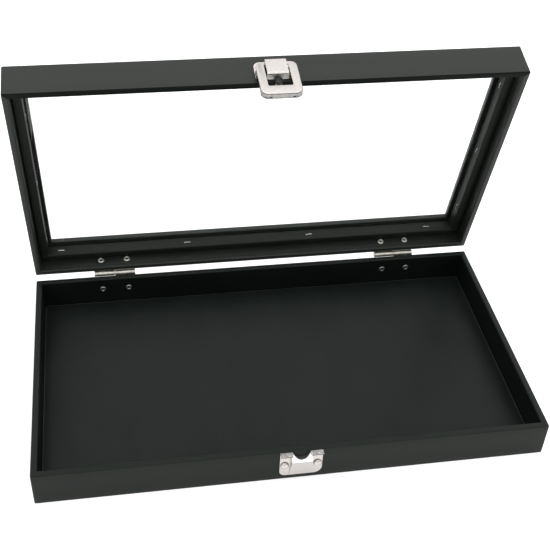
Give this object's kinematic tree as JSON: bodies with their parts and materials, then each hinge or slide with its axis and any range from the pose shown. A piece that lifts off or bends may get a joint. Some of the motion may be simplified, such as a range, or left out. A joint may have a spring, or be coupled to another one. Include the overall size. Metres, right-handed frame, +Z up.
{
  "type": "glass-lidded display case",
  "caption": "Shallow hinged display case standing open: covered tray, lid with a glass window, small butt hinges and a sprung ring latch.",
  "frame": {"origin": "middle of the tray's underside", "axes": "+X to the right along the case, +Y towards the hinges at the back, +Z up"},
  "size_m": [0.3746, 0.2442, 0.2446],
  "materials": {
    "black_leatherette": "fine pebble grain, semi-matt, over board walls",
    "floor_paper": "smooth, slightly glossy black paper",
    "raw_board": "bare fibreboard, hidden",
    "strapping": "black covered strip",
    "nickel": "bright nickel plate",
    "hinge_steel": "dull plated",
    "spring_steel": "plain",
    "staple_wire": "galvanised",
    "glass": "clear float glass"
  },
  "bodies": {
    "base": {"base_front_wall": "black_leatherette", "base_right_wall": "black_leatherette", "base_back_wall": "black_leatherette", "base_left_wall": "black_leatherette", "base_underside_cover": "black_leatherette", "base_floor_board": "raw_board", "base_floor_lining": "floor_paper", "latch_keeper": "nickel", "keeper_rivet_left": "nickel", "keeper_rivet_right": "nickel", "hinge_left_base_leaf": "hinge_steel", "hinge_left_pin": "hinge_steel", "hinge_left_base_rivet_outer": "nickel", "hinge_left_base_rivet_inner": "nickel", "hinge_right_base_leaf": "hinge_steel", "hinge_right_pin": "hinge_steel", "hinge_right_base_rivet_outer": "nickel", "hinge_right_base_rivet_inner": "nickel"},
    "lid": {"lid_front_wall": "black_leatherette", "lid_right_wall": "black_leatherette", "lid_back_wall": "black_leatherette", "lid_left_wall": "black_leatherette", "lid_top_rail_front": "black_leatherette", "lid_top_rail_right": "black_leatherette", "lid_top_rail_back": "black_leatherette", "lid_top_rail_left": "black_leatherette", "glass_pane": "glass", "glass_strip_front": "strapping", "glass_strip_right": "strapping", "glass_strip_back": "strapping", "glass_strip_left": "strapping", "staple_front_1": "staple_wire", "staple_front_2": "staple_wire", "staple_front_3": "staple_wire", "staple_front_4": "staple_wire", "staple_back_1": "staple_wire", "staple_back_2": "staple_wire", "staple_back_3": "staple_wire", "staple_back_4": "staple_wire", "staple_left_1": "staple_wire", "staple_left_2": "staple_wire", "staple_left_3": "staple_wire", "staple_right_1": "staple_wire", "staple_right_2": "staple_wire", "staple_right_3": "staple_wire", "hinge_left_lid_leaf": "hinge_steel", "hinge_left_lid_rivet_outer": "nickel", "hinge_left_lid_rivet_inner": "nickel", "hinge_right_lid_leaf": "hinge_steel", "hinge_right_lid_rivet_outer": "nickel", "hinge_right_lid_rivet_inner": "nickel", "latch_plate": "nickel", "latch_plate_rivet_left": "nickel", "latch_plate_rivet_right": "nickel", "latch_spring": "spring_steel", "latch_stop": "nickel"},
    "latch_ring": {"latch_ring": "nickel"}
  },
  "joints": [
    {"name": "lid_hinge", "type": "hinge", "parent": "base", "child": "lid", "pos_m": [0, 0.10777, 0.0297], "axis": [-1, 0, 0], "range_deg": [-75, 105]},
    {"name": "latch_ring_hinge", "type": "hinge", "parent": "lid", "child": "latch_ring", "pos_m": [0.0015, 0.06722, 0.24209], "axis": [-1, 0, 0], "range_deg": [0, 100]}
  ]
}
